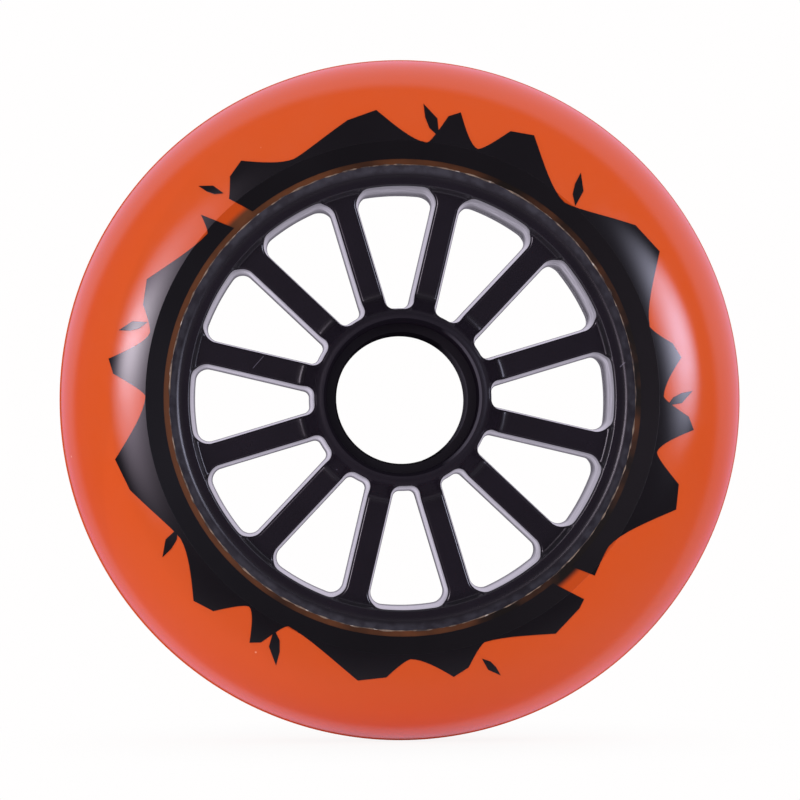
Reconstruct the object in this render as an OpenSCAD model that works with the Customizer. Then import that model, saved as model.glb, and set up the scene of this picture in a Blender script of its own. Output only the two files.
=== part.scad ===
// Scooter wheel without its bearings: a spoked alloy core, a polyurethane tyre cast round it
// and a band of ink printed on each side of the tyre.
// The origin is the centre of the wheel, the wheel turns about Y, and its front looks along -Y.

/* [Tyre] */
// Outside diameter of the tyre, over the tread
tyre_d = 100; // [98:0.5:110]
// Width of the tyre, which is also the diameter of its round section
tyre_w = 24; // [23.5:0.1:26]
// Distance from the widest part of that section to the crease in the side, towards the axle
crease_in = 0.9; // [0.3:0.1:2]

/* [Rim] */
// Diameter of the rim at its two lips, where the tyre begins
rim_d = 67.4; // [65:0.1:69]
// Depth of a lip's edge below the widest part of the tyre
lip_drop = 1; // [0.7:0.1:1.8]
// Height of the tyre's side over that edge
lip_cover = 0.1; // [0.05:0.05:0.4]
// Radial width of the slope between a lip and the flat face beside it
lip_slope = 1.2; // [0.5:0.1:1.5]
// Depth of the flat face of the rim below a lip's edge
rim_drop = 1; // [0.5:0.1:2]
// Thickness of the rim from the windows to the tyre, at the middle plane
rim_t = 3.5; // [3:0.1:4.5]

/* [Keying rib] */
// Height of the rib that stands in the tyre, above the rim
rib_h = 3; // [2.6:0.1:5]
// Width of the rib at its foot
rib_foot_w = 7; // [5:0.1:8]
// Width of the rib at its crest, wider than the foot so that the tyre can't pull off
rib_crest_w = 9; // [8.2:0.1:12]
// Number of holes through the rib, which the tyre fills
key_count = 24; // [8:1:36]
// Diameter of those holes
key_d = 2; // [1.2:0.1:2.4]

/* [Spokes] */
// Number of spokes, with a window between each two
spoke_count = 12; // [9:1:13]
// Angle of the first spoke above the horizontal
spoke_turn = 16.6; // [0:0.1:30]
// Width of a spoke at the middle plane, where it is widest
spoke_w = 4.15; // [3.4:0.05:4.6]
// Depth of a spoke's face below the flat face of the rim
spoke_drop = 1.5; // [0.5:0.1:4]
// Draft angle of the window walls, which open towards both faces
draft_a = 3; // [1:0.1:4]
// Radius of a window's corners at the rim, at the middle plane
outer_corner_r = 1.8; // [1:0.1:2.6]
// Radius of a window's corners at the hub, at the middle plane
inner_corner_r = 1; // [0.6:0.1:1.3]

/* [Hub] */
// Distance by which each end of the hub stands out past the widest part of the tyre
hub_proud = 0; // [-0.5:0.1:2]
// Diameter of the hub at the middle plane
hub_d = 26.8; // [26.2:0.1:28.4]
// Radial length of the ramp from a spoke's face up to the hub's end
ramp_l = 2.1; // [1:0.1:4]
// Depth of the top of that ramp below the hub's end face
ramp_step = 0.8; // [0.2:0.1:1.4]
// Chamfer round the outer edge of the hub's end
hub_edge = 0.7; // [0.1:0.05:1.2]

/* [Bearing seats] */
// Diameter of a seat, the outer diameter of a 608 bearing
seat_d = 22; // [21:0.01:22.5]
// Depth of a seat, the width of a 608 bearing
seat_l = 7; // [5:0.1:8]
// Diameter of the hole through the shoulder between the seats
stop_d = 19; // [16:0.1:20]
// Chamfer at the mouth of a seat
mouth_chamfer = 0.35; // [0.1:0.05:0.5]

/* [Printed band] */
// Thickness of the ink
ink_t = 0.1; // [0.06:0.01:0.3]
// Bare ring of tyre between the rim's lip and the ink
print_gap = 0.8; // [0.3:0.1:2]
// Radial height of the tallest flame, from the inner edge of the ink
print_h = 8.4; // [6:0.1:9]
// Radial height of the ring that the flames rise from
band_h = 2.8; // [1:0.1:3.5]
// Number of flames round the wheel
flame_count = 17; // [9:1:25]
// Number of breaks in the ring
break_count = 2; // [1:1:4]
// Angle of the first break
break_turn = 128; // [0:1:360]
// Width of a break
break_w = 6; // [3:0.5:10]
// Size of the smallest loose lick over the valleys
lick_size = 1.1; // [0.6:0.05:1.5]
// Turn of the back print against the front print
back_turn = 40; // [0:1:90]

/* [Hidden] */
$fn = 180;
tyre_r = tyre_d / 2;
section_r = tyre_w / 2;
section_centre_r = tyre_r - section_r;
crease_r = section_centre_r - crease_in;
rim_r = rim_d / 2;
window_r = rim_r - rim_t;
hub_r = hub_d / 2;
// Distances from the middle plane: the hub's end, a lip's edge, the rim's face and a spoke's face
half_w = section_r + hub_proud;
lip_y = section_r - lip_drop;
rim_y = lip_y - rim_drop;
spoke_y = rim_y - spoke_drop;
draft = tan(draft_a);
// Distance by which a window wall has opened at the hub's end face
draft_open = half_w * draft;
hub_end_r = hub_r - draft_open;
hub_thick = hub_end_r - seat_d / 2;
// Small offset that keeps the corner rounds from lying exactly on the walls beside them
blend_step = 0.02;
// Length by which a cutting solid runs past the face that it cuts
overcut = 1;
// Room that the shell of ink has round its pattern
shell_margin = 1;
print_r = rim_r + print_gap;
band_r = print_r + band_h;
// The golden ratio spreads a row of numbers evenly between 0 and 1, without a visible order
golden = (sqrt(5) - 1) / 2;
// Lowest share of the full height that a flame reaches
flame_low = 0.55;
// Spread of the flame widths about their mean
flame_spread = 0.7;
// Spread of the depth of the valleys between the flames
valley_spread = 1.4;
// Steps in each flank of a flame
flank_steps = 8;
// Share of a flame's width that its blunt tip takes
tip_share = 0.2;
// Fall of the tip from its rising to its falling flank
tip_fall = 0.9;
// Lowest share of a flame's width that its rising flank takes, and its spread above that
rise_low = 0.35;
rise_spread = 0.28;
// Powers that hollow the rising and the falling flank
rise_power = 1.7;
fall_power = 1.4;
core_colour = "#26222A";
tyre_colour = "#D2542A";
ink_colour = "#1A171C";

function polar(r, a) = r * [cos(a), sin(a)];
function spread(i, start) = (i * golden + start) % 1;
function flame_part(i) = 1 + flame_spread * (2 * spread(i, 0.31) - 1);
function parts_before(i) = i == 0 ? 0 : parts_before(i - 1) + flame_part(i - 1);
function flame_start(i) = 360 * parts_before(i) / parts_before(flame_count);
function flame_width(i) = flame_start(i + 1) - flame_start(i);
function flame_tip(i) =
  band_r + (print_h - band_h) * (flame_low + (1 - flame_low) * spread(3 * i, 0.12));
function valley(i) = band_r + valley_spread * (spread(i % flame_count, 0.77) - 0.5);
// Share of a flame's width that its rising flank takes
function rise_share(i) = rise_low + rise_spread * spread(i, 0.55);

// Outline of one flame: a hollow rising flank, a blunt tip and a hollow falling flank
function flame_outline(i) =
  let (
    start = flame_start(i),
    width = flame_width(i),
    rise = rise_share(i) * width,
    fall_start = rise + tip_share * width,
    high = flame_tip(i),
    low = high - tip_fall
  )
  concat(
    [for (k = [0 : flank_steps])
      let (x = k / flank_steps)
      polar(valley(i) + (high - valley(i)) * pow(x, rise_power), start + rise * x)],
    [for (k = [0 : flank_steps - 1])
      let (x = k / flank_steps)
      polar(
        valley(i + 1) + (low - valley(i + 1)) * pow(1 - x, fall_power),
        start + fall_start + (width - fall_start) * x
      )]
  );

// Turns a wheel drawn flat, with its front on top, so that its front looks along -Y
module upright() {
  rotate([90, 0, 0]) children();
}

// Ring about the axis whose wall is widest or narrowest at the middle plane
module drafted_disc(middle_r, end_r, height) {
  rotate_extrude()
    polygon([[0, -height], [end_r, -height], [middle_r, 0], [end_r, height], [0, height]]);
}

module rim_ring() {
  difference() {
    rotate_extrude()
      polygon([
        [window_r - overcut, -rim_y], [rim_r - lip_slope, -rim_y], [rim_r, -lip_y],
        [rim_r, lip_y], [rim_r - lip_slope, rim_y], [window_r - overcut, rim_y]
      ]);
    drafted_disc(window_r, window_r + draft_open, half_w);
  }
}

// The rib that the tyre is cast round, with the holes that the tyre fills
module keying_rib(depth) {
  difference() {
    rotate_extrude()
      polygon([
        [rim_r - depth, -rib_foot_w / 2], [rim_r, -rib_foot_w / 2],
        [rim_r + rib_h, -rib_crest_w / 2], [rim_r + rib_h, rib_crest_w / 2],
        [rim_r, rib_foot_w / 2], [rim_r - depth, rib_foot_w / 2]
      ]);
    for (i = [0 : key_count - 1])
      rotate([0, 0, 360 * i / key_count])
        translate([rim_r + rib_h / 2, 0, 0])
          cylinder(d = key_d, h = rib_crest_w + 2 * overcut, center = true);
  }
}

module hub_ring() {
  edge_r = hub_end_r + hub_edge * draft;
  rotate_extrude()
    polygon([
      [0, -half_w], [edge_r - hub_edge, -half_w], [edge_r, hub_edge - half_w],
      [hub_r, 0],
      [edge_r, half_w - hub_edge], [edge_r - hub_edge, half_w], [0, half_w]
    ]);
}

// One spoke along X: its section is widest at the middle plane
module spoke() {
  start_r = seat_d / 2 + hub_thick / 2;
  end_r = rim_r - rim_t / 2;
  middle = spoke_w / 2;
  end = middle - draft_open;
  translate([start_r, 0, 0])
    rotate([90, 0, 90])
      linear_extrude(height = end_r - start_r)
        polygon([
          [middle, 0], [end, half_w], [-end, half_w],
          [-middle, 0], [-end, -half_w], [end, -half_w]
        ]);
}

// Fills the corner between a spoke and a ring with a drafted round whose centre lies at centre_r.
// outward is 1 at the rim and -1 at the hub.
module corner_fill(corner_r, centre_r, outward) {
  off = spoke_w / 2 + corner_r + blend_step;
  centre = [sqrt(centre_r * centre_r - off * off), off];
  to_ring = outward * centre / centre_r;
  to_spoke = [0, -1];
  reach = corner_r + draft_open + 2 * blend_step;
  difference() {
    linear_extrude(height = 2 * half_w, center = true)
      polygon([
        centre, centre + reach * to_spoke, centre + reach * (to_spoke + to_ring),
        centre + reach * to_ring
      ]);
    translate([centre[0], centre[1], 0])
      drafted_disc(corner_r, corner_r + draft_open, half_w);
  }
}

module spoke_with_corners() {
  spoke();
  for (side = [0, 1])
    mirror([0, side, 0]) {
      corner_fill(outer_corner_r, window_r - outer_corner_r - blend_step, 1);
      corner_fill(inner_corner_r, hub_r + inner_corner_r + blend_step, -1);
    }
}

// The space that the spokes fill: flat faces, and a ramp up to each end of the hub
module spoke_space() {
  top = half_w - ramp_step;
  ramp_r = hub_end_r + ramp_l;
  rotate_extrude()
    polygon([
      [0, -top], [hub_end_r, -top], [ramp_r, -spoke_y], [rim_r, -spoke_y],
      [rim_r, spoke_y], [ramp_r, spoke_y], [hub_end_r, top], [0, top]
    ]);
}

module bearing_seats() {
  cylinder(d = stop_d, h = 2 * (half_w + overcut), center = true);
  for (side = [0, 1])
    mirror([0, 0, side]) {
      translate([0, 0, half_w - seat_l])
        cylinder(d = seat_d, h = seat_l + overcut);
      translate([0, 0, half_w - mouth_chamfer])
        cylinder(d1 = seat_d, d2 = seat_d + 4 * mouth_chamfer, h = 2 * mouth_chamfer);
    }
}

// A loose lick of flame, over the valley before flame i, in units of its own size
module lick(i) {
  size = lick_size * (1 + 0.6 * spread(i, 0.4));
  rotate([0, 0, flame_start(i)])
    translate([print_r + print_h - (1.2 + spread(i, 0.7)) * size, 0])
      scale(size)
        polygon([[-1.6, -1], [0, -0.7], [1.2, 0.6], [0, 0.35], [-0.9, -0.1]]);
}

// A slanted break through the ring
module band_break(a) {
  inner = print_r - shell_margin;
  outer = print_r + print_h + shell_margin;
  slant = break_w;
  polygon([polar(inner, a), polar(inner, a + break_w), polar(outer, a + break_w + slant),
    polar(outer, a + slant)]);
}

module print_pattern() {
  difference() {
    polygon([for (i = [0 : flame_count - 1]) each flame_outline(i)]);
    circle(r = print_r);
    for (i = [0 : break_count - 1]) band_break(break_turn + 360 * i / break_count);
  }
  for (i = [0 : 2 : flame_count - 2]) lick(i);
}

// Section of the tyre, grown by a skin: round outside the creases, straight from them to the lips
module tyre_section(grow) {
  r = section_r + grow;
  crease_y = sqrt(r * r - crease_in * crease_in);
  edge_y = lip_y + lip_cover + grow;
  difference() {
    union() {
      polygon([[rim_r, -edge_y], [crease_r, -crease_y], [crease_r, crease_y], [rim_r, edge_y]]);
      difference() {
        translate([section_centre_r, 0]) circle(r = r);
        translate([0, -tyre_w]) square([crease_r, 2 * tyre_w]);
      }
    }
    translate([0, -tyre_w]) square([rim_r, 2 * tyre_w]);
  }
}

// Ink on the upper side of the tyre, as thick as ink_t
module ink_shell() {
  intersection() {
    rotate_extrude()
      intersection() {
        difference() {
          tyre_section(ink_t);
          tyre_section(0);
        }
        translate([print_r - shell_margin, 0])
          square([print_h + 2 * shell_margin, tyre_w]);
      }
    linear_extrude(height = tyre_w) print_pattern();
  }
}

module core() {
  color(core_colour)
    upright()
      difference() {
        union() {
          rim_ring();
          keying_rib(rim_t / 2);
          hub_ring();
          intersection() {
            for (i = [0 : spoke_count - 1])
              rotate([0, 0, spoke_turn + 360 * i / spoke_count]) spoke_with_corners();
            spoke_space();
          }
        }
        bearing_seats();
      }
}

module tyre() {
  color(tyre_colour)
    upright()
      difference() {
        rotate_extrude() tyre_section(0);
        keying_rib(rim_t / 2);
      }
}

module front_print() {
  color(ink_colour) upright() ink_shell();
}

module back_print() {
  color(ink_colour) upright() mirror([0, 0, 1]) rotate([0, 0, back_turn]) ink_shell();
}

core();
tyre();
front_print();
back_print();
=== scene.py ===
"""Looks of a bare scooter wheel: a black cast core, an orange polyurethane tyre and its printed ink.

The wheel turns about Y and its front looks along -Y. Lengths are in metres: MM turns millimetres into them.
"""
import math

import bmesh
import bpy
from mathutils import Matrix, Quaternion, Vector, noise


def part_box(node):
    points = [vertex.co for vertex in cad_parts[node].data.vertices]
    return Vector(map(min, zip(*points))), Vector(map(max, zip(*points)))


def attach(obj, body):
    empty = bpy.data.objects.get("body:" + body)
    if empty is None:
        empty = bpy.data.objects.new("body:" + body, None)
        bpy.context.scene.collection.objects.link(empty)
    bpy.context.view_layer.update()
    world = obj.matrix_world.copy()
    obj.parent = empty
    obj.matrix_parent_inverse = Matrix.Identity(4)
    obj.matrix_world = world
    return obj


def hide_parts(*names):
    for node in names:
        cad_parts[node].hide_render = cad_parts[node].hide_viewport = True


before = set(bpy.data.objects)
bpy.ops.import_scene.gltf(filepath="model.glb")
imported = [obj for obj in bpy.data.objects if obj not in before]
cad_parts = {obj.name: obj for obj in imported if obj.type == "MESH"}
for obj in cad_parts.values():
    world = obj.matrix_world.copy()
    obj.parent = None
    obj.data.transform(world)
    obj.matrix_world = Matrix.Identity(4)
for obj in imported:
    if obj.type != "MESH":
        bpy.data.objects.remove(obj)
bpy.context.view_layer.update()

MM = 0.001
AXLE = Vector((0, 1, 0))
CENTRE = Vector((0, 0, 0))
# Points this close are merged, in most meshes and in the casting, or count as touching
WELD = 0.001 * MM
CASTING_WELD = 0.002 * MM
TOUCH = 0.01 * MM
# Edges that bend more than this are shaded as sharp
SHARP = math.radians(40)

# Tyre: its round section comes from the CAD box, its straight sides run from the creases to the rim's lips
tyre_low, tyre_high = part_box("tyre")
core_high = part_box("core")[1]
TYRE_R = tyre_high.z
SECTION_R = tyre_high.y
SECTION_CENTRE_R = TYRE_R - SECTION_R
CREASE_R = 37.1 * MM
CREASE_Y = math.sqrt(SECTION_R ** 2 - (SECTION_CENTRE_R - CREASE_R) ** 2)
CREASE_BEVEL = 0.12 * MM
RIM_R = 33.7 * MM
SIDE_EDGE_Y = 11.1 * MM
TREAD_STEPS = 120
TYRE_STEPS = 288
# Groove inside the tyre, and the core's rib that it grips
GROOVE_R = core_high.z
RIB_R = 36.7 * MM
RIB_TOP_Y = 4.5 * MM
RIB_FOOT_Y = 3.5 * MM
# Normals lean outwards beside the crease, most at the crease itself, so that glare starts there
CREASE_LEAN = math.radians(10)
LEAN_REACH = 6 * MM

# Ink: its thickness, the longest edge in its mesh, the rounds that refine it, and how near the crease a point
# is drawn onto it
INK_T = 0.1 * MM
INK_MESH = 0.9 * MM
INK_ROUNDS = 5
CREASE_SNAP = 0.06 * MM

# Flash: a bead along the joint of tyre and rim
FLASH_T = 0.22 * MM
FLASH_Y = 11.05 * MM
FLASH_SIDES = 8
FLASH_STEPS = 720
# It swells and thins by shares of its thickness, and wanders in and out
FLASH_MEAN = 0.75
FLASH_LEAST = 0.25
FLASH_SWELL = 1.1
SWELL_LENGTH = 1.1 * MM
FLASH_WANDER = 0.1 * MM
WANDER_LENGTH = 2.3 * MM

# Core: radii outwards from the axle, and heights of its faces above the middle plane
STOP_R = 9.5 * MM
SEAT_R = 11 * MM
HUB_FACE_R = 11.55 * MM
HUB_EDGE_R = 12.11 * MM
HUB_NECK_R = 12.81 * MM
SPOKE_FOOT_R = 14.87 * MM
STEP_FOOT_R = 30.45 * MM
STEP_TOP_R = 30.85 * MM
LIP_FOOT_R = 32.5 * MM
HUB_Y = core_high.y
HUB_NECK_Y = 11.3 * MM
LIP_Y = 11 * MM
RIM_Y = 10 * MM
SPOKE_Y = 8.5 * MM
STOP_Y = 5 * MM
# Windows between the spokes, which open towards the faces by their draft
SPOKES = 12
SPOKE_TURN = math.radians(16.6)
SPOKE_W = 4.15 * MM
WINDOW_R = 30.2 * MM
HUB_R = 13.4 * MM
OUTER_CORNER_R = 1.8 * MM
INNER_CORNER_R = 1 * MM
DRAFT = math.tan(math.radians(3))
EDGE_ROUND = 0.35 * MM
# Ridge that the two halves of the mould leave on the walls of the windows
PARTING_W = 0.3 * MM
PARTING_H = 0.05 * MM
# Mesh of half a spoke: columns over it and along hub and rim, steps round corners and edges, rows down a wall
# as shares of its height, and rows along the straight of the spoke as radii
SPOKE_COLUMNS = 6
HUB_COLUMNS = 8
RIM_COLUMNS = 12
CORNER_STEPS = 10
ROUND_STEPS = 5
WALL_SHARES = (0.66, 0.33)
STRAIGHT_ROWS = [radius * MM for radius in range(17, 28, 2)]

# Finish, with painted shade and highlights: radii at which it changes, and values that materials share
CREASE_BLUR = 0.03 * MM
BROWN_R = 34.9 * MM
NOT_BROWN_R = 36 * MM
SIDE_END_R = 49.4 * MM
RUNNING_R = 49.7 * MM
DULL_HUB_R = 12 * MM
BRIGHT_HUB_R = 13.2 * MM
DUSTY_FOOT_R = 14.9 * MM
STEP_MID_R = 30.7 * MM
# Lips: where their painted reflection and wear start and are full
LIP_TONE_START_R = 32.3 * MM
LIP_TONE_FULL_R = 33.1 * MM
# Scratches on the core: start and end as (x, z), and width
SCRATCHES = ((Vector((-21.6, 4.4)) * MM, Vector((-20.1, 6.1)) * MM, 0.13 * MM),
             (Vector((31.6, 4.4)) * MM, Vector((32.25, 5.0)) * MM, 0.22 * MM))
# Polyurethane, ink and coat are all polymers
POLYMER_IOR = 1.5
GLOSS_LEVEL = 0.5
SATIN_ROUGHNESS = 0.45


# Colours and nodes

def linear(hex_colour):
    """sRGB hex colour as the linear RGBA that sockets take."""
    channels = [int(hex_colour[i:i + 2], 16) / 255 for i in (1, 3, 5)]
    return tuple(c / 12.92 if c <= 0.04045 else ((c + 0.055) / 1.055) ** 2.4 for c in channels) + (1,)


def add_node(tree, kind, inputs=None, **settings):
    """Adds a node, sets its options, and fills or links its inputs by name or number."""
    made = tree.nodes.new(kind)
    for name, value in settings.items():
        setattr(made, name, value)
    for socket, value in (inputs or {}).items():
        if isinstance(value, bpy.types.NodeSocket):
            tree.links.new(value, made.inputs[socket])
        else:
            made.inputs[socket].default_value = value
    return made


def new_material(name):
    """Empty material with its shader and output, and the shader's tree."""
    material = bpy.data.materials.new(name)
    material.use_nodes = True
    tree = material.node_tree
    tree.nodes.clear()
    shader = add_node(tree, "ShaderNodeBsdfPrincipled")
    add_node(tree, "ShaderNodeOutputMaterial", {"Surface": shader.outputs[0]})
    return material, tree, shader


# Masks

def place_and_radius(tree):
    """Place on the wheel, and its distance from the axle."""
    place = add_node(tree, "ShaderNodeTexCoord").outputs["Object"]
    in_plane = add_node(tree, "ShaderNodeVectorMath", {0: place, 1: (1, 0, 1)}, operation="MULTIPLY")
    radius = add_node(tree, "ShaderNodeVectorMath", {0: in_plane.outputs[0]}, operation="LENGTH")
    return place, radius.outputs["Value"]


def inside_crease(tree, radius):
    """Mask of the tyre's straight sides, between the rim and the crease."""
    inside = add_node(tree, "ShaderNodeMapRange", {0: radius, 1: CREASE_R - CREASE_BLUR,
                                                   2: CREASE_R + CREASE_BLUR, 3: 1.0, 4: 0.0})
    return inside.outputs[0]


def near_ring(tree, radius, ring_r, full, none):
    """Mask of a ring round the axle: full up to one distance from its radius, and gone at another."""
    past = add_node(tree, "ShaderNodeMath", {0: radius, 1: ring_r}, operation="SUBTRACT")
    away = add_node(tree, "ShaderNodeMath", {0: past.outputs[0]}, operation="ABSOLUTE")
    near = add_node(tree, "ShaderNodeMapRange", {0: away.outputs[0], 1: full, 2: none, 3: 1.0, 4: 0.0})
    return near.outputs[0]


def sparse_dots(tree, place, spacing, dot, share):
    """Mask of small round dots with soft edges: at most one per cell, and only in a share of the cells."""
    solid_share = 0.6
    cells = add_node(tree, "ShaderNodeTexVoronoi", {"Vector": place, "Scale": 1 / spacing})
    near = add_node(tree, "ShaderNodeMapRange", {0: cells.outputs["Distance"], 1: solid_share * dot / spacing,
                                                 2: dot / spacing, 3: 1.0, 4: 0.0})
    chosen = add_node(tree, "ShaderNodeMath", {0: cells.outputs["Color"], 1: share}, operation="LESS_THAN")
    dots = add_node(tree, "ShaderNodeMath", {0: near.outputs[0], 1: chosen.outputs[0]}, operation="MULTIPLY")
    return dots.outputs[0]


def scratch(tree, place, start, end, width):
    """Mask of a straight scratch with soft sides, between two points of the front as (x, z)."""
    start = Vector((start.x, 0, start.y))
    along = Vector((end.x, 0, end.y)) - start
    flat = add_node(tree, "ShaderNodeVectorMath", {0: place, 1: (1, 0, 1)}, operation="MULTIPLY")
    from_start = add_node(tree, "ShaderNodeVectorMath", {0: flat.outputs[0], 1: start}, operation="SUBTRACT")
    share = add_node(tree, "ShaderNodeVectorMath", {0: from_start.outputs[0],
                                                    1: along / along.length_squared}, operation="DOT_PRODUCT")
    on_line = add_node(tree, "ShaderNodeMath", {0: share.outputs["Value"], 1: 0.0}, operation="ADD",
                       use_clamp=True)
    foot = add_node(tree, "ShaderNodeVectorMath", {0: along, "Scale": on_line.outputs[0]}, operation="SCALE")
    away = add_node(tree, "ShaderNodeVectorMath", {0: from_start.outputs[0], 1: foot.outputs[0]},
                    operation="DISTANCE")
    mark = add_node(tree, "ShaderNodeMapRange", {0: away.outputs["Value"], 1: 0.2 * width, 2: 0.5 * width,
                                                 3: 1.0, 4: 0.0})
    return mark.outputs[0]


# Materials

def tyre_colour(tree, place, radius, inside, running):
    """Orange, with painted shade inside the crease, duller where the tyre runs, brown over the rim with
    painted shade towards +X, pale at scuffs.
    """
    cloud = add_node(tree, "ShaderNodeTexNoise", {"Vector": place, "Scale": 1 / (14 * MM), "Detail": 3})
    body = add_node(tree, "ShaderNodeMix", {0: cloud.outputs[0], 6: linear("#DB531B"), 7: linear("#D85722")},
                    data_type="RGBA")
    # Painted shade: a deeper orange inside the crease
    crease_shaded = add_node(tree, "ShaderNodeMix", {0: inside, 6: body.outputs[2], 7: linear("#C24712")},
                      data_type="RGBA")
    # Brown in the thin edge over the black rim, blotchy, with painted shade that darkens it towards +X
    painted_light_per_mm = -0.007
    blotches = add_node(tree, "ShaderNodeTexNoise", {"Vector": place, "Scale": 1 / (8 * MM), "Detail": 4})
    axes = add_node(tree, "ShaderNodeSeparateXYZ", {0: place})
    ring_lightness = add_node(tree, "ShaderNodeMath", {0: axes.outputs["X"], 1: painted_light_per_mm / MM,
                                                2: blotches.outputs[0]}, operation="MULTIPLY_ADD")
    lit_share = add_node(tree, "ShaderNodeMapRange", {0: ring_lightness.outputs[0], 1: 0.25, 2: 0.65})
    shaded_brown = add_node(tree, "ShaderNodeMix", {0: lit_share.outputs[0], 6: linear("#1D1411"),
                                             7: linear("#5F3722")}, data_type="RGBA")
    thin = add_node(tree, "ShaderNodeMapRange", {0: radius, 1: BROWN_R, 2: NOT_BROWN_R, 3: 1.0, 4: 0.0},
                    interpolation_type="SMOOTHSTEP")
    ringed = add_node(tree, "ShaderNodeMix", {0: thin.outputs[0], 6: crease_shaded.outputs[2], 7: shaded_brown.outputs[2]},
                      data_type="RGBA")
    run = add_node(tree, "ShaderNodeMix", {0: running, 6: ringed.outputs[2], 7: linear("#D0522B")},
                   data_type="RGBA")
    scuffs = sparse_dots(tree, place, spacing=6 * MM, dot=0.22 * MM, share=0.3)
    scuffed = add_node(tree, "ShaderNodeMix", {0: scuffs, 6: run.outputs[2], 7: linear("#F0A283")},
                       data_type="RGBA")
    return scuffed.outputs[2]


def cast_polyurethane():
    """Cast polyurethane: glossy orange with a pink bloom where it is seen at a slant.

    Inside the crease and where it runs on the ground it is satin, without bloom.
    """
    material, tree, shader = new_material("cast_polyurethane")
    place, radius = place_and_radius(tree)
    inside = inside_crease(tree, radius)
    run_on = add_node(tree, "ShaderNodeMapRange", {0: radius, 1: SIDE_END_R, 2: RUNNING_R},
                      interpolation_type="SMOOTHSTEP")
    running = run_on.outputs[0]
    tree.links.new(tyre_colour(tree, place, radius, inside, running), shader.inputs["Base Color"])
    wear = add_node(tree, "ShaderNodeTexNoise", {"Vector": place, "Scale": 1 / (3 * MM), "Detail": 6})
    polished = add_node(tree, "ShaderNodeMapRange", {0: wear.outputs[0], 1: 0.3, 2: 0.7, 3: 0.11, 4: 0.16})
    satin = add_node(tree, "ShaderNodeMath", {0: inside, 1: running}, operation="MAXIMUM")
    rough = add_node(tree, "ShaderNodeMix", {0: satin.outputs[0], 2: polished.outputs[0], 3: SATIN_ROUGHNESS})
    tree.links.new(rough.outputs[0], shader.inputs["Roughness"])
    side_gloss = add_node(tree, "ShaderNodeMix", {0: inside, 2: GLOSS_LEVEL, 3: 0.05})
    gloss = add_node(tree, "ShaderNodeMix", {0: running, 2: side_gloss.outputs[0], 3: 0.0})
    tree.links.new(gloss.outputs[0], shader.inputs["Specular IOR Level"])
    bloom = add_node(tree, "ShaderNodeMix", {0: satin.outputs[0], 2: 0.9, 3: 0.0})
    tree.links.new(bloom.outputs[0], shader.inputs["Sheen Weight"])
    shader.inputs["Sheen Roughness"].default_value = 0.4
    shader.inputs["Sheen Tint"].default_value = linear("#FF5089")
    shader.inputs["Specular Tint"].default_value = linear("#BEF3FF")
    shader.inputs["IOR"].default_value = POLYMER_IOR
    return material


def printed_ink():
    """Black printing ink, as glossy or satin as the polyurethane below it, with a few brown pinholes."""
    material, tree, shader = new_material("printed_ink")
    place, radius = place_and_radius(tree)
    cloud = add_node(tree, "ShaderNodeTexNoise", {"Vector": place, "Scale": 1 / (9 * MM), "Detail": 3})
    body = add_node(tree, "ShaderNodeMix", {0: cloud.outputs[0], 6: linear("#0F0C10"), 7: linear("#161318")},
                    data_type="RGBA")
    pinholes = sparse_dots(tree, place, spacing=7 * MM, dot=0.3 * MM, share=0.28)
    pinholed = add_node(tree, "ShaderNodeMix", {0: pinholes, 6: body.outputs[2], 7: linear("#6B3A22")},
                        data_type="RGBA")
    tree.links.new(pinholed.outputs[2], shader.inputs["Base Color"])
    inside = inside_crease(tree, radius)
    rough = add_node(tree, "ShaderNodeMix", {0: inside, 2: 0.13, 3: SATIN_ROUGHNESS})
    gloss = add_node(tree, "ShaderNodeMix", {0: inside, 2: GLOSS_LEVEL, 3: 0.06})
    tree.links.new(rough.outputs[0], shader.inputs["Roughness"])
    tree.links.new(gloss.outputs[0], shader.inputs["Specular IOR Level"])
    shader.inputs["IOR"].default_value = POLYMER_IOR
    return material


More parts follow.
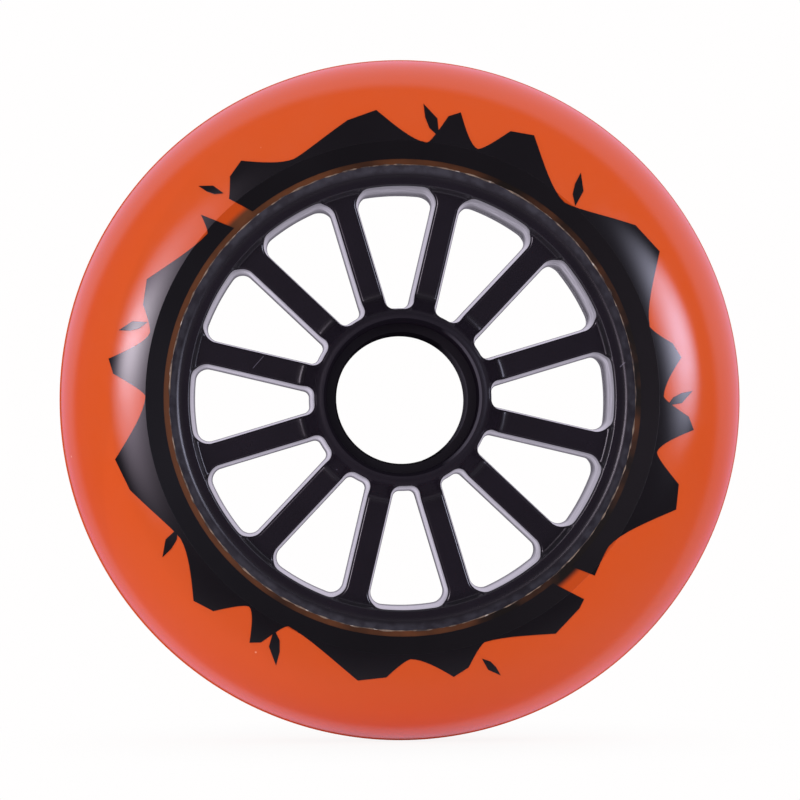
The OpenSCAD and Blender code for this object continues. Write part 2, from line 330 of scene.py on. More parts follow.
def coat_colour(tree, place, radius, hub, hole_edge, step):
    """Black with marks; painted reflection and wear on the lips, mottled; painted highlight in the rim's step
    and on the bore's edges towards +X, painted shade on those edges elsewhere.
    """
    cloud = add_node(tree, "ShaderNodeTexNoise", {"Vector": place, "Scale": 1 / (6 * MM), "Detail": 4})
    coat = add_node(tree, "ShaderNodeMix", {0: cloud.outputs[0], 6: linear("#17131A"), 7: linear("#1E1923")},
                    data_type="RGBA")
    even = add_node(tree, "ShaderNodeMix", {0: hub, 6: coat.outputs[2], 7: linear("#1D1822")},
                    data_type="RGBA")
    # Bore's edges: painted highlight towards +X, painted shade elsewhere
    mouth = add_node(tree, "ShaderNodeMath", {0: radius, 1: SEAT_R + 0.22 * MM, 2: 0.2 * MM},
                     operation="COMPARE")
    edges = add_node(tree, "ShaderNodeMath", {0: mouth.outputs[0], 1: hole_edge}, operation="MAXIMUM")
    axes = add_node(tree, "ShaderNodeSeparateXYZ", {0: place})
    lit_side = add_node(tree, "ShaderNodeMapRange", {0: axes.outputs["X"], 1: 5.5 * MM, 2: 9 * MM})
    painted_edge_light = add_node(tree, "ShaderNodeMix", {0: lit_side.outputs[0], 6: linear("#141118"),
                                                 7: linear("#494550")}, data_type="RGBA")
    edge_lit = add_node(tree, "ShaderNodeMix", {0: edges.outputs[0], 6: even.outputs[2],
                                             7: painted_edge_light.outputs[2]}, data_type="RGBA")
    # Lips: painted reflection that lightens them, together with mottled wear
    lip = add_node(tree, "ShaderNodeMapRange", {0: radius, 1: LIP_TONE_START_R, 2: LIP_TONE_FULL_R},
                   interpolation_type="SMOOTHSTEP")
    lip_mottle = add_node(tree, "ShaderNodeTexNoise", {"Vector": place, "Scale": 1 / (1.6 * MM), "Detail": 6})
    patchy = add_node(tree, "ShaderNodeMapRange", {0: lip_mottle.outputs[0], 1: 0.38, 2: 0.62, 3: 0.3, 4: 1.0})
    lip_light_and_wear = add_node(tree, "ShaderNodeMath", {0: lip.outputs[0], 1: patchy.outputs[0]},
                        operation="MULTIPLY")
    lipped = add_node(tree, "ShaderNodeMix", {0: lip_light_and_wear.outputs[0], 6: edge_lit.outputs[2],
                                              7: linear("#383640")}, data_type="RGBA")
    marks = sparse_dots(tree, place, spacing=5 * MM, dot=0.14 * MM, share=0.25)
    for start, end, width in SCRATCHES:
        mark = scratch(tree, place, start, end, width)
        marks = add_node(tree, "ShaderNodeMath", {0: marks, 1: mark}, operation="MAXIMUM").outputs[0]
    marked = add_node(tree, "ShaderNodeMix", {0: marks, 6: lipped.outputs[2], 7: linear("#565160")},
                      data_type="RGBA")
    # Painted highlight: the rim's step painted lighter
    step_lit = add_node(tree, "ShaderNodeMix", {0: step, 6: marked.outputs[2], 7: linear("#29262E")},
                      data_type="RGBA")
    return step_lit.outputs[2]


def coat_roughness(tree, radius, hub, face, step):
    """Smooth, but rougher from dust at both ends of the spokes and under the lips, and on the dull hub."""
    smooth = add_node(tree, "ShaderNodeMix", {0: face, 2: 0.13, 3: 0.15})
    near_foot = near_ring(tree, radius, DUSTY_FOOT_R, full=0.3 * MM, none=0.9 * MM)
    foot = add_node(tree, "ShaderNodeMath", {0: near_foot, 1: face}, operation="MULTIPLY")
    at_foot = add_node(tree, "ShaderNodeMix", {0: foot.outputs[0], 2: smooth.outputs[0], 3: 0.3})
    in_step = add_node(tree, "ShaderNodeMix", {0: step, 2: at_foot.outputs[0], 3: 0.45})
    near_lip = near_ring(tree, radius, LIP_FOOT_R, full=0.3 * MM, none=0.8 * MM)
    under_lip = add_node(tree, "ShaderNodeMix", {0: near_lip, 2: in_step.outputs[0], 3: 0.27})
    on_hub = add_node(tree, "ShaderNodeMix", {0: hub, 2: under_lip.outputs[0], 3: 0.42})
    return on_hub.outputs[0]


def coat_relief(tree, place, face):
    """Fine grain of the casting on its faces, and slow waves on the walls of the windows."""
    grain = add_node(tree, "ShaderNodeTexNoise", {"Vector": place, "Scale": 1 / (0.3 * MM), "Detail": 3})
    strength = add_node(tree, "ShaderNodeMath", {0: face, 1: 0.08}, operation="MULTIPLY")
    grainy = add_node(tree, "ShaderNodeBump", {"Height": grain.outputs[0], "Strength": strength.outputs[0],
                                               "Distance": 0.02 * MM})
    waves = add_node(tree, "ShaderNodeTexNoise", {"Vector": place, "Scale": 1 / (2.5 * MM), "Detail": 2})
    on_wall = add_node(tree, "ShaderNodeMath", {0: 1.0, 1: face}, operation="SUBTRACT")
    wavy = add_node(tree, "ShaderNodeBump", {"Height": waves.outputs[0], "Strength": on_wall.outputs[0],
                                             "Distance": 0.07 * MM, "Normal": grainy.outputs[0]})
    return wavy.outputs[0]


def black_coated_alloy():
    """Cast aluminium under a smooth black coat, with lips grey from painted reflection and mottled wear, and
    a dull hub and bore.

    Its faces are slightly grainy and the walls of its windows slightly wavy.
    """
    material, tree, shader = new_material("black_coated_alloy")
    place, radius = place_and_radius(tree)
    dull_hub = add_node(tree, "ShaderNodeMapRange", {0: radius, 1: DULL_HUB_R, 2: BRIGHT_HUB_R,
                                                     3: 1.0, 4: 0.0})
    hub = dull_hub.outputs[0]
    stop = add_node(tree, "ShaderNodeMath", {0: radius, 1: STOP_R + 0.1 * MM, 2: 0.13 * MM},
                    operation="COMPARE")
    hole_edge = stop.outputs[0]
    # Faces and walls are told apart by how far they look along the axle, the slanted rim step from both
    normal = add_node(tree, "ShaderNodeNewGeometry").outputs["Normal"]
    sides = add_node(tree, "ShaderNodeSeparateXYZ", {0: normal})
    slope = add_node(tree, "ShaderNodeMath", {0: sides.outputs["Y"]}, operation="ABSOLUTE")
    face = add_node(tree, "ShaderNodeMapRange", {0: slope.outputs[0], 1: 0.15, 2: 0.5}).outputs[0]
    off_wall = add_node(tree, "ShaderNodeMapRange", {0: slope.outputs[0], 1: 0.1, 2: 0.2})
    off_face = add_node(tree, "ShaderNodeMapRange", {0: slope.outputs[0], 1: 0.9, 2: 0.985, 3: 1.0, 4: 0.0})
    slanted = add_node(tree, "ShaderNodeMath", {0: off_wall.outputs[0], 1: off_face.outputs[0]},
                       operation="MULTIPLY")
    near_step = near_ring(tree, radius, STEP_MID_R, full=0.3 * MM, none=0.6 * MM)
    step = add_node(tree, "ShaderNodeMath", {0: near_step, 1: slanted.outputs[0]},
                    operation="MULTIPLY").outputs[0]
    tree.links.new(coat_colour(tree, place, radius, hub, hole_edge, step), shader.inputs["Base Color"])
    tree.links.new(coat_roughness(tree, radius, hub, face, step), shader.inputs["Roughness"])
    tree.links.new(coat_relief(tree, place, face), shader.inputs["Normal"])
    seat_wall = add_node(tree, "ShaderNodeMath", {0: radius, 1: SEAT_R + 0.2 * MM, 2: 0.25 * MM},
                         operation="COMPARE")
    matt = add_node(tree, "ShaderNodeMath", {0: seat_wall.outputs[0], 1: hole_edge}, operation="MAXIMUM")
    dull = add_node(tree, "ShaderNodeMix", {0: matt.outputs[0], 2: 0.1, 3: 0.0})
    gloss = add_node(tree, "ShaderNodeMix", {0: hub, 2: 0.42, 3: dull.outputs[0]})
    tree.links.new(gloss.outputs[0], shader.inputs["Specular IOR Level"])
    shader.inputs["IOR"].default_value = POLYMER_IOR
    return material


def polyurethane_flash():
    """Thin skin of polyurethane that squeezed out along the rim and was scraped: tan, with pale dots."""
    material, tree, shader = new_material("polyurethane_flash")
    place = add_node(tree, "ShaderNodeTexCoord").outputs["Object"]
    tone = add_node(tree, "ShaderNodeTexNoise", {"Vector": place, "Scale": 1 / (1.8 * MM), "Detail": 5})
    tan_share = add_node(tree, "ShaderNodeMapRange", {0: tone.outputs[0], 1: 0.42, 2: 0.58})
    tan = add_node(tree, "ShaderNodeMix", {0: tan_share.outputs[0], 6: linear("#3A2D2A"),
                                           7: linear("#8A7566")}, data_type="RGBA")
    pale_dots = sparse_dots(tree, place, spacing=1.1 * MM, dot=0.4 * MM, share=0.3)
    dotted = add_node(tree, "ShaderNodeMix", {0: pale_dots, 6: tan.outputs[2], 7: linear("#CFC4C2")},
                      data_type="RGBA")
    tree.links.new(dotted.outputs[2], shader.inputs["Base Color"])
    shader.inputs["Roughness"].default_value = 0.5
    return material


# Pieces

def new_piece(name, bm, material, slot, *nodes):
    """Object from a bmesh, riding on the wheel, in place of the named CAD nodes."""
    mesh = bpy.data.meshes.new(name)
    bm.to_mesh(mesh)
    bm.free()
    mesh.materials.append(material)
    mesh.shade_smooth()
    piece = bpy.data.objects.new(name, mesh)
    bpy.context.scene.collection.objects.link(piece)
    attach(piece, "root")
    if nodes:
        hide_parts(*nodes)
    return piece


def radius_of(point):
    """Distance of a point from the axle."""
    return math.hypot(point.x, point.z)


def welded_copy(node):
    """Copy of a CAD node's mesh, with its loose triangles merged."""
    bm = bmesh.new()
    bm.from_mesh(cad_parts[node].data)
    bmesh.ops.remove_doubles(bm, verts=bm.verts, dist=WELD)
    return bm


def full_turn(bm, steps):
    """Spins a section in the XY plane once round the axle and closes it."""
    bmesh.ops.spin(bm, geom=bm.verts[:] + bm.edges[:], cent=CENTRE, axis=AXLE, angle=2 * math.pi, steps=steps,
                   use_merge=True)
    bmesh.ops.remove_doubles(bm, verts=bm.verts, dist=WELD)
    bmesh.ops.recalc_face_normals(bm, faces=bm.faces)


def on_crease(vertex):
    """Whether a point of the tyre lies on its front or back crease."""
    return abs(radius_of(vertex.co) - CREASE_R) < TOUCH and abs(abs(vertex.co.y) - CREASE_Y) < TOUCH


def tyre_body(material):
    """Tyre: a round tread between two creases, straight sides, and the groove that grips the core's rib."""
    bm = bmesh.new()
    front_crease = bm.verts.new((CREASE_R, -CREASE_Y, 0))
    centre = Vector((SECTION_CENTRE_R, 0, 0))
    to_crease = math.atan2(CREASE_Y, SECTION_CENTRE_R - CREASE_R)
    tread = bmesh.ops.spin(bm, geom=[front_crease], cent=centre, axis=(0, 0, 1),
                           angle=2 * (math.pi - to_crease), steps=TREAD_STEPS)
    back_crease = next(v for v in tread["geom_last"] if isinstance(v, bmesh.types.BMVert))
    outline = [back_crease]
    for x, y in ((RIM_R, SIDE_EDGE_Y), (RIM_R, RIB_FOOT_Y), (GROOVE_R, RIB_TOP_Y), (GROOVE_R, -RIB_TOP_Y),
                 (RIM_R, -RIB_FOOT_Y), (RIM_R, -SIDE_EDGE_Y)):
        outline.append(bm.verts.new((x, y, 0)))
    outline.append(front_crease)
    for start, end in zip(outline, outline[1:]):
        bm.edges.new((start, end))
    full_turn(bm, TYRE_STEPS)
    creases = [e for e in bm.edges if all(on_crease(v) for v in e.verts)]
    bmesh.ops.bevel(bm, geom=creases, offset=CREASE_BEVEL, offset_type="OFFSET", affect="EDGES", segments=2,
                    profile=0.5, material=-1)
    piece = new_piece("tyre_body", bm, material, "tyre", "tyre")
    piece.data.set_sharp_from_angle(angle=SHARP)
    show_round_sides(piece)


def rounded(corners, steps=5):
    """Outline through (radius, height, reach) corners, each rounded off from its reach on both sides."""
    points = [Vector(corners[0][:2])]
    for before, corner, after in zip(corners, corners[1:], corners[2:]):
        here = Vector(corner[:2])
        start = here + (Vector(before[:2]) - here).normalized() * corner[2]
        end = here + (Vector(after[:2]) - here).normalized() * corner[2]
        for k in range(steps + 1 if corner[2] else 1):
            share = k / steps
            points.append(start.lerp(here, share).lerp(here.lerp(end, share), share))
    return points + [Vector(corners[-1][:2])]


# Half sections of the casting: its front from the hub's face to the lip, its bore, and the seat of the tyre.
# A corner is its radius, its height and how far from it the rounding starts
FRONT_OUTLINE = rounded([
    (HUB_FACE_R, HUB_Y, 0),
    (HUB_EDGE_R, HUB_Y, 0.5 * MM),
    (HUB_NECK_R, HUB_NECK_Y, 0.25 * MM),
    (SPOKE_FOOT_R, SPOKE_Y, 0.45 * MM),
    (STEP_FOOT_R, SPOKE_Y, 0.3 * MM),
    (STEP_TOP_R, RIM_Y, 0.25 * MM),
    (LIP_FOOT_R, RIM_Y, 0.4 * MM),
    (RIM_R, LIP_Y, 0),
])
BORE_OUTLINE = rounded([
    (HUB_FACE_R, HUB_Y, 0),
    (SEAT_R, HUB_Y, 0.35 * MM),
    (SEAT_R, STOP_Y, 0),
    (STOP_R, STOP_Y, 0.2 * MM),
    (STOP_R, 0, 0),
])[1:]
TYRE_SEAT_OUTLINE = [Vector(point) for point in ((RIM_R, RIB_FOOT_Y), (RIB_R, RIB_TOP_Y), (RIB_R, 0))]


def add_sheet(bm, rows, columns, place):
    """Grid of faces whose points place(row, column) gives."""
    grid = bmesh.ops.create_grid(bm, x_segments=columns - 1, y_segments=rows - 1)
    for number, vertex in enumerate(grid["verts"]):
        vertex.co = place(*divmod(number, columns))


def at_angle(radius, angle, height):
    """Point on the front of the wheel, at an angle from the middle of a spoke."""
    return Vector((radius * math.cos(angle), -height, radius * math.sin(angle)))


def front_height(radius):
    """Height of the casting's front above the middle plane."""
    for inner, outer in zip(FRONT_OUTLINE, FRONT_OUTLINE[1:]):
        if inner.x <= radius <= outer.x:
            return inner.lerp(outer, (radius - inner.x) / (outer.x - inner.x)).y
    return FRONT_OUTLINE[-1].y


def edge_offset(radius):
    """Distance by which a window has opened, by its draft and its rounded edge, where it meets the front."""
    return DRAFT * (front_height(radius) - EDGE_ROUND) + EDGE_ROUND


def window_edge(radius):
    """Point of a window's edge beside a spoke, flat from the axle, and the way out of the window."""
    offset = edge_offset(radius)
    side = SPOKE_W / 2 - offset
    for corner_r, centre_r, inward in ((OUTER_CORNER_R, WINDOW_R - OUTER_CORNER_R, False),
                                       (INNER_CORNER_R, HUB_R + INNER_CORNER_R, True)):
        across = SPOKE_W / 2 + corner_r
        centre = Vector((math.sqrt(centre_r ** 2 - across ** 2), across))
        on_side = Vector((centre.x, side))
        if (radius < on_side.length) == inward:
            cosine = (radius ** 2 + centre_r ** 2 - (corner_r + offset) ** 2) / (2 * radius * centre_r)
            angle = math.asin(across / centre_r) - math.acos(min(1, cosine))
            point = radius * Vector((math.cos(angle), math.sin(angle)))
            return point, (point - centre).normalized()
    return Vector((math.sqrt(radius ** 2 - side ** 2), side)), Vector((0, -1))


def arc_edge(radius, angles, way):
    """Points of a window's edge along the hub (way -1) or the rim (way 1), and the way out of the window."""
    outward = [Vector((math.cos(angle), math.sin(angle))) for angle in angles]
    return [(out * radius, out * way) for out in outward]


def spoke_radii(hub_top, rim_top):
    """Radii of the rows along a spoke: at bends of the front, round the window's corners and between."""
    hair = 1e-6 * MM
    margin = 0.02 * MM
    least_step = 0.004 * MM
    radii = {p.x for p in FRONT_OUTLINE if hub_top + margin < p.x < rim_top - margin}
    hub_corner = (HUB_R + INNER_CORNER_R, -(INNER_CORNER_R + edge_offset(hub_top)))
    rim_corner = (WINDOW_R - OUTER_CORNER_R, OUTER_CORNER_R + edge_offset(rim_top))
    for centre_r, reach in (hub_corner, rim_corner):
        for k in range(CORNER_STEPS + 1):
            turn = math.radians(90 * k / CORNER_STEPS)
            radii.add(math.sqrt(centre_r ** 2 + reach ** 2 + 2 * centre_r * reach * math.cos(turn)))
    radii.update(STRAIGHT_ROWS)
    radii = sorted(r for r in radii if hub_top - hair < r < rim_top + hair)
    return [r for r, after in zip(radii, radii[1:]) if after - r > least_step] + [radii[-1]]


def end_angles(edge_angle, steps):
    """Angles of the points over a spoke's end, and then of those along the window to its middle."""
    half_pitch = math.pi / SPOKES
    over_spoke = [edge_angle * j / SPOKE_COLUMNS for j in range(SPOKE_COLUMNS + 1)]
    return over_spoke + [edge_angle + (half_pitch - edge_angle) * k / steps for k in range(1, steps + 1)]


def wall_point(edge, row):
    """Point on a window's wall: round the edge first, then down the draft to the parting ridge."""
    point, way = edge
    radius = point.length
    wall_height = front_height(radius) - EDGE_ROUND
    below = [wall_height * share for share in WALL_SHARES] + [PARTING_W / 2]
    if row <= ROUND_STEPS:
        turn = math.pi / 2 * (1 - row / ROUND_STEPS)
        level = wall_height + EDGE_ROUND * math.sin(turn)
        offset = DRAFT * wall_height + EDGE_ROUND * (1 - math.cos(turn))
    elif row <= ROUND_STEPS + len(below):
        level = below[row - ROUND_STEPS - 1]
        offset = DRAFT * level
    else:
        level = 0
        offset = -PARTING_H
    flat = point + way * (offset - edge_offset(radius))
    return Vector((flat.x, -level, flat.y))


def core_casting(material):
    """Core: one half of a spoke's front with its share of hub and rim, mirrored, turned and repeated."""
    bm = bmesh.new()
    # Radii at which the windows meet the front: on the hub's slope, found in a few rounds, and on the rim
    hub_top = HUB_R
    for _ in range(8):
        hub_top = HUB_R - edge_offset(hub_top)
    on_rim = WINDOW_R + 1 * MM
    rim_top = WINDOW_R + edge_offset(on_rim)
    radii = spoke_radii(hub_top, rim_top)
    edges = [window_edge(r) for r in radii]
    angles = [math.atan2(point.y, point.x) for point, _ in edges]
    add_sheet(bm, len(radii), SPOKE_COLUMNS + 1,
              lambda i, j: at_angle(radii[i], angles[i] * j / SPOKE_COLUMNS, front_height(radii[i])))

    hub_angles = end_angles(angles[0], HUB_COLUMNS)
    rim_angles = end_angles(angles[-1], RIM_COLUMNS)
    hub_rows = [Vector((hub_top, front_height(hub_top)))]
    hub_rows += [p for p in reversed(FRONT_OUTLINE) if p.x < hub_top - TOUCH] + BORE_OUTLINE
    rim_rows = [Vector((rim_top, front_height(rim_top)))]
    rim_rows += [p for p in FRONT_OUTLINE if p.x > rim_top + TOUCH] + TYRE_SEAT_OUTLINE
    for rows, columns in ((hub_rows, hub_angles), (rim_rows, rim_angles)):
        add_sheet(bm, len(rows), len(columns), lambda i, j: at_angle(rows[i].x, columns[j], rows[i].y))

    ring = arc_edge(hub_top, reversed(hub_angles[SPOKE_COLUMNS + 1:]), -1)
    ring += edges + arc_edge(rim_top, rim_angles[SPOKE_COLUMNS + 1:], 1)
    add_sheet(bm, ROUND_STEPS + len(WALL_SHARES) + 3, len(ring), lambda i, j: wall_point(ring[j], i))

    bmesh.ops.remove_doubles(bm, verts=bm.verts, dist=CASTING_WELD)
    for axis in ("Z", "Y"):
        bmesh.ops.mirror(bm, geom=bm.verts[:] + bm.edges[:] + bm.faces[:], axis=axis,
                         merge_dist=CASTING_WELD)
    bmesh.ops.rotate(bm, verts=bm.verts, cent=CENTRE, matrix=Matrix.Rotation(-SPOKE_TURN, 3, "Y"))
    bmesh.ops.spin(bm, geom=bm.verts[:] + bm.edges[:] + bm.faces[:], cent=CENTRE, axis=AXLE,
                   use_duplicate=True, steps=SPOKES - 1, angle=2 * math.pi * (SPOKES - 1) / SPOKES)
    bmesh.ops.remove_doubles(bm, verts=bm.verts, dist=CASTING_WELD)
    bmesh.ops.recalc_face_normals(bm, faces=bm.faces)
    piece = new_piece("core_casting", bm, material, "core", "core")
    piece.data.set_sharp_from_angle(angle=SHARP)


def side_height(radius, skin):
    """Height of the tyre's side above the middle plane, with a skin of ink on it."""
    if radius > CREASE_R:
        return math.sqrt((SECTION_R + skin) ** 2 - (radius - SECTION_CENTRE_R) ** 2)
    slope = (CREASE_Y - SIDE_EDGE_Y) / (CREASE_R - RIM_R)
    return CREASE_Y + skin - slope * (CREASE_R - radius)


def side_lean(radius, outside):
    """Angle by which the tyre's side leans out from the axle, on the inside or the outside of the crease."""
    if not outside:
        return -math.atan2(CREASE_Y - SIDE_EDGE_Y, CREASE_R - RIM_R)
    lean = math.asin(max(-1, min(1, (radius - SECTION_CENTRE_R) / SECTION_R)))
    return lean + CREASE_LEAN * max(0, 1 - (radius - CREASE_R) / LEAN_REACH) ** 2


def show_round_sides(piece):
    """Sets the normals of the tyre's sides, or of ink on them: straight inside the crease, round outside."""
    mesh = piece.data
    normals = []
    for face in mesh.polygons:
        outside = radius_of(face.center) > CREASE_R
        for corner in face.vertices:
            at = mesh.vertices[corner].co
            flat = Vector((at.x, 0, at.z))
            lean = side_lean(flat.length, outside)
            facing = Vector((0, math.copysign(math.cos(lean), at.y), 0))
            at_side = abs(at.y) > side_height(min(flat.length, TYRE_R), 0) - INK_T
            shown = at_side and flat.length > RIM_R + TOUCH
            normals.append(facing + flat.normalized() * math.sin(lean) if shown else Vector())
    mesh.normals_split_custom_set(normals)


def cut_at_crease(bm):
    """Draws points of a layer of ink that are near the crease onto it, and cuts the faces that cross it."""
    for vertex in bm.verts:
        radius = radius_of(vertex.co)
        if abs(radius - CREASE_R) < CREASE_SNAP:
            vertex.co.x *= CREASE_R / radius
            vertex.co.z *= CREASE_R / radius
    crossing = {}
    for edge in bm.edges:
        start, end = (radius_of(v.co) - CREASE_R for v in edge.verts)
        if start * end < 0 and min(abs(start), abs(end)) > TOUCH:
            crossing[edge] = start / (start - end)
    bmesh.ops.bisect_edges(bm, edges=list(crossing), cuts=1, edge_percents=crossing)
    met = [v for v in bm.verts if abs(radius_of(v.co) - CREASE_R) < TOUCH]
    bmesh.ops.connect_verts(bm, verts=met)
    bmesh.ops.triangulate(bm, faces=bm.faces)


def ink_band(name, node, material):
    """Printed band: the CAD layer of ink, refined to follow the round of the tyre, and cut at the crease."""
    bm = welded_copy(node)
    for _ in range(INK_ROUNDS):
        long_edges = [e for e in bm.edges if e.calc_length() > INK_MESH]
        bmesh.ops.subdivide_edges(bm, edges=long_edges, cuts=1)
        bmesh.ops.triangulate(bm, faces=bm.faces)
    cut_at_crease(bm)
    for vertex in bm.verts:
        radius = radius_of(vertex.co)
        skin = INK_T if abs(vertex.co.y) > side_height(radius, INK_T / 2) else 0
        vertex.co.y = math.copysign(side_height(radius, skin), vertex.co.y)
    bmesh.ops.remove_doubles(bm, verts=bm.verts, dist=TOUCH)
    bmesh.ops.dissolve_degenerate(bm, dist=TOUCH, edges=bm.edges)
    bmesh.ops.triangulate(bm, faces=bm.faces)
    bmesh.ops.recalc_face_normals(bm, faces=bm.faces)
    show_round_sides(new_piece(name, bm, material, "ink", node))


def flash_line(name, side, material):
    """Ragged bead of flash along the joint of tyre and rim, on the front (side -1) or the back (side 1)."""
    bm = bmesh.new()
    place = Matrix.Translation((RIM_R, side * FLASH_Y, 0))
    bmesh.ops.create_circle(bm, segments=FLASH_SIDES, radius=FLASH_T / 2, matrix=place)
    full_turn(bm, FLASH_STEPS)
    # Places far apart in the noise, so that front and back swell and wander on their own
    swell_start = AXLE * (side * 7)
    wander_start = AXLE * (side * 3)
    for vertex in bm.verts:
        outward = Vector((vertex.co.x, 0, vertex.co.z)).normalized()
        middle = outward * RIM_R + Vector((0, side * FLASH_Y, 0))
        swell = FLASH_MEAN + FLASH_SWELL * noise.noise(outward * (RIM_R / SWELL_LENGTH) + swell_start)
        wander = FLASH_WANDER * noise.noise(outward * (RIM_R / WANDER_LENGTH) + wander_start)
        vertex.co = middle + (vertex.co - middle) * max(FLASH_LEAST, swell) + outward * wander
    new_piece(name, bm, material, "tyre")


polyurethane = cast_polyurethane()
ink = printed_ink()
alloy = black_coated_alloy()
flash = polyurethane_flash()
tyre_body(polyurethane)
core_casting(alloy)
ink_band("front_ink", "front_print", ink)
ink_band("back_ink", "back_print", ink)
flash_line("front_flash", -1, flash)
flash_line("back_flash", 1, flash)

# Stage: a white floor under the wheel, a white surround, soft lights and a camera
FLOOR_SIZE = 6.0
SHADOW_REACH = 70 * MM
SHADOW_SHARE = 0.1
WHITE = linear("#FFFEFE")
SOFTBOX_DISTANCE = 0.9


def floor():
    """Pale floor that goes over into the white surround and keeps the wheel's shadow."""
    bm = bmesh.new()
    bmesh.ops.create_grid(bm, x_segments=1, y_segments=1, size=FLOOR_SIZE / 2,
                          matrix=Matrix.Translation((0, 0, tyre_low.z)))
    mesh = bpy.data.meshes.new("floor")
    bm.to_mesh(mesh)
    bm.free()
    material, tree, shader = new_material("white_paper")
    shader.inputs["Base Color"].default_value = linear("#F2F1F1")
    shader.inputs["Roughness"].default_value = 0.9
    shader.inputs["Specular IOR Level"].default_value = 0.0
    glow = add_node(tree, "ShaderNodeEmission", {"Color": WHITE, "Strength": 1.0})
    ray = add_node(tree, "ShaderNodeLightPath")
    place = add_node(tree, "ShaderNodeTexCoord").outputs["Object"]
    away = add_node(tree, "ShaderNodeVectorMath", {0: place, 1: (0, 0, tyre_low.z)}, operation="DISTANCE")
    whiter = add_node(tree, "ShaderNodeMapRange", {0: away.outputs["Value"], 1: 0.0, 2: SHADOW_REACH,
                                                   3: 1 - SHADOW_SHARE, 4: 1.0},
                      interpolation_type="SMOOTHSTEP")
    share = add_node(tree, "ShaderNodeMath", {0: ray.outputs["Is Camera Ray"], 1: whiter.outputs[0]},
                     operation="MULTIPLY")
    mixed = add_node(tree, "ShaderNodeMixShader",
                     {0: share.outputs[0], 1: shader.outputs[0], 2: glow.outputs[0]})
    tree.links.new(mixed.outputs[0], tree.nodes["Material Output"].inputs["Surface"])
    mesh.materials.append(material)
    made = bpy.data.objects.new("floor", mesh)
    bpy.context.scene.collection.objects.link(made)
    made.visible_glossy = False
    made.visible_shadow = False


def reflected_strength(tree, direction):
    """How bright the surround is in gloss: bright behind the wheel, brighter higher up, and dark before it.

    The bright side has a panel that is brighter still, and a dark spot straight behind the axle.
    """
    bright_side = (0.187, 1.0, 0.292)
    dark = 0.08
    bright = 0.92
    panel_middle = (-0.09, 0.99, -0.07)
    panel_reach = 0.2
    spot_edge = 0.045
    spot_reach = 0.085
    axes = add_node(tree, "ShaderNodeSeparateXYZ", {0: direction})
    back = add_node(tree, "ShaderNodeVectorMath", {0: direction, 1: bright_side}, operation="DOT_PRODUCT")
    behind = add_node(tree, "ShaderNodeMapRange", {0: back.outputs["Value"], 1: -0.01, 2: 0.29,
                                                   3: dark, 4: bright}, interpolation_type="SMOOTHSTEP")
    height = add_node(tree, "ShaderNodeMapRange", {0: axes.outputs["Z"], 1: -0.2, 2: 0.2, 3: 0.66, 4: 1.2})
    below = add_node(tree, "ShaderNodeMapRange", {0: axes.outputs["Z"], 1: -0.7, 2: -0.2, 3: 0.35, 4: 0.0})
    seen = add_node(tree, "ShaderNodeMath", {0: behind.outputs[0], 1: height.outputs[0], 2: below.outputs[0]},
                    operation="MULTIPLY_ADD")
    off_panel = add_node(tree, "ShaderNodeVectorMath", {0: direction, 1: panel_middle}, operation="DISTANCE")
    panel = add_node(tree, "ShaderNodeMapRange", {0: off_panel.outputs["Value"], 1: 0.0, 2: panel_reach,
                                                  3: 0.5, 4: 0.0}, interpolation_type="SMOOTHSTEP")
    brighter = add_node(tree, "ShaderNodeMath", {0: seen.outputs[0], 1: panel.outputs[0]}, operation="ADD")
    off_axle = add_node(tree, "ShaderNodeVectorMath", {0: direction, 1: AXLE}, operation="DISTANCE")
    spot = add_node(tree, "ShaderNodeMapRange", {0: off_axle.outputs["Value"], 1: spot_edge, 2: spot_reach,
                                                 3: 0.15, 4: 1.0}, interpolation_type="SMOOTHSTEP")
    spotted = add_node(tree, "ShaderNodeMath", {0: brighter.outputs[0], 1: spot.outputs[0]},
                       operation="MULTIPLY")
    return spotted.outputs[0]


def surround():
    """White studio: plain white to the camera and in the light it gives, and shaded where gloss shows it."""
    world = bpy.data.worlds.new("white_studio")
    bpy.context.scene.world = world
    world.use_nodes = True
    # Only rays that reach the surround by themselves see it, so that their kind decides what they see
    world.cycles.sampling_method = "NONE"
    tree = world.node_tree
    tree.nodes.clear()
    ray = add_node(tree, "ShaderNodeLightPath")
    direction = add_node(tree, "ShaderNodeTexCoord").outputs["Generated"]
    in_gloss = ray.outputs["Is Glossy Ray"]
    for_gloss = add_node(tree, "ShaderNodeMix", {0: in_gloss, 2: 1.0, 3: reflected_strength(tree, direction)})
    for_camera = add_node(tree, "ShaderNodeMix", {0: ray.outputs["Is Camera Ray"], 2: for_gloss.outputs[0],
                                                  3: 1.0})
    tint = add_node(tree, "ShaderNodeMix", {0: in_gloss, 6: WHITE, 7: linear("#F0E8FC")}, data_type="RGBA")
    light = add_node(tree, "ShaderNodeBackground", {"Color": tint.outputs[2],
                                                    "Strength": for_camera.outputs[0]})
    add_node(tree, "ShaderNodeOutputWorld", {"Surface": light.outputs[0]})


def view_direction(turn, rise):
    """Direction from the wheel to what stands before it, by angles in degrees to the right and up."""
    turn = math.radians(turn)
    rise = math.radians(rise)
    return Vector((math.sin(turn) * math.cos(rise), -math.cos(turn) * math.cos(rise), math.sin(rise)))


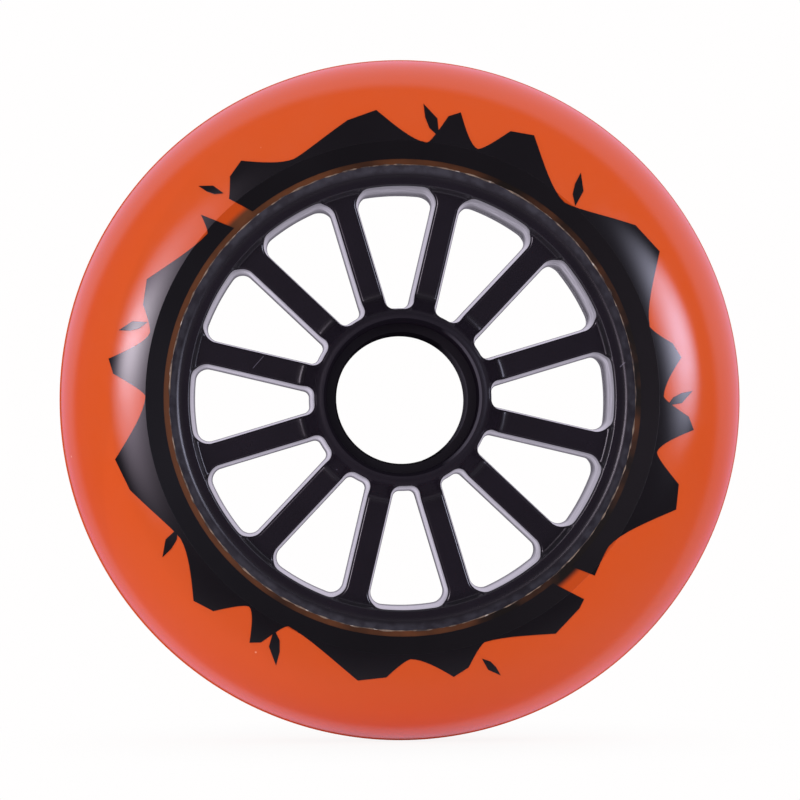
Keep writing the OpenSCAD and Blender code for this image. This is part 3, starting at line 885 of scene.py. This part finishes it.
def softbox(name, turn, rise, width, height, radiance, colour, glare):
    """Area light at a direction and of a size in degrees, fading to its edges.

    One for glare is seen only in gloss, any other only lights.
    """
    direction = view_direction(turn, rise)
    lamp = bpy.data.lights.new(name, "AREA")
    lamp.shape = "RECTANGLE"
    lamp.size = 2 * SOFTBOX_DISTANCE * math.tan(math.radians(width / 2))
    lamp.size_y = 2 * SOFTBOX_DISTANCE * math.tan(math.radians(height / 2))
    lamp.energy = radiance * math.pi * lamp.size * lamp.size_y
    lamp.use_nodes = True
    tree = lamp.node_tree
    tree.nodes.clear()
    place = add_node(tree, "ShaderNodeNewGeometry").outputs["Parametric"]
    away = add_node(tree, "ShaderNodeVectorMath", {0: place, 1: (0.5, 0.5, 0)}, operation="DISTANCE")
    soft = add_node(tree, "ShaderNodeMapRange", {0: away.outputs["Value"], 1: 0.5, 2: 0.0, 3: 0.0, 4: 1.0},
                    interpolation_type="SMOOTHSTEP")
    glow = add_node(tree, "ShaderNodeEmission", {"Color": linear(colour), "Strength": soft.outputs[0]})
    add_node(tree, "ShaderNodeOutputLight", {"Surface": glow.outputs[0]})
    made = bpy.data.objects.new(name, lamp)
    bpy.context.scene.collection.objects.link(made)
    made.location = direction * SOFTBOX_DISTANCE
    made.rotation_euler = direction.to_track_quat("Z", "Y").to_euler()
    made.visible_camera = False
    made.visible_diffuse = not glare
    made.visible_glossy = glare


def photo_camera():
    """Long lens a little to the left of the axle and below it, and rolled by a hair."""
    view_width = 117.68 * MM
    distance = 600 * MM
    direction = view_direction(turn=-1.9, rise=-1.6)
    roll = Quaternion((0, 0, 1), math.radians(-0.22))
    aim = Vector((-0.04 * MM, 0, -0.065 * MM))
    data = bpy.data.cameras.new("photo_camera")
    data.sensor_width = 36
    data.lens = data.sensor_width * distance / view_width
    camera = bpy.data.objects.new("photo_camera", data)
    bpy.context.scene.collection.objects.link(camera)
    camera.location = aim + direction * distance
    camera.rotation_euler = (direction.to_track_quat("Z", "Y") @ roll).to_euler()
    bpy.context.scene.camera = camera


floor()
surround()
softbox("left_softbox", turn=-27, rise=7, width=42, height=40, radiance=6.6,
        colour="#F6E4FA", glare=True)
softbox("left_window", turn=-26, rise=7, width=30, height=15, radiance=11.0,
        colour="#F8F0FA", glare=True)
softbox("right_softbox", turn=39.5, rise=8.5, width=45, height=30, radiance=15.0,
        colour="#E4E4FF", glare=True)
softbox("key_softbox", turn=-30, rise=20, width=60, height=60, radiance=0.4,
        colour="#FFFFFF", glare=False)
softbox("low_softbox", turn=0, rise=-45, width=70, height=50, radiance=3.6,
        colour="#FFF8F6", glare=False)
photo_camera()
bpy.context.scene.view_settings.view_transform = "Standard"
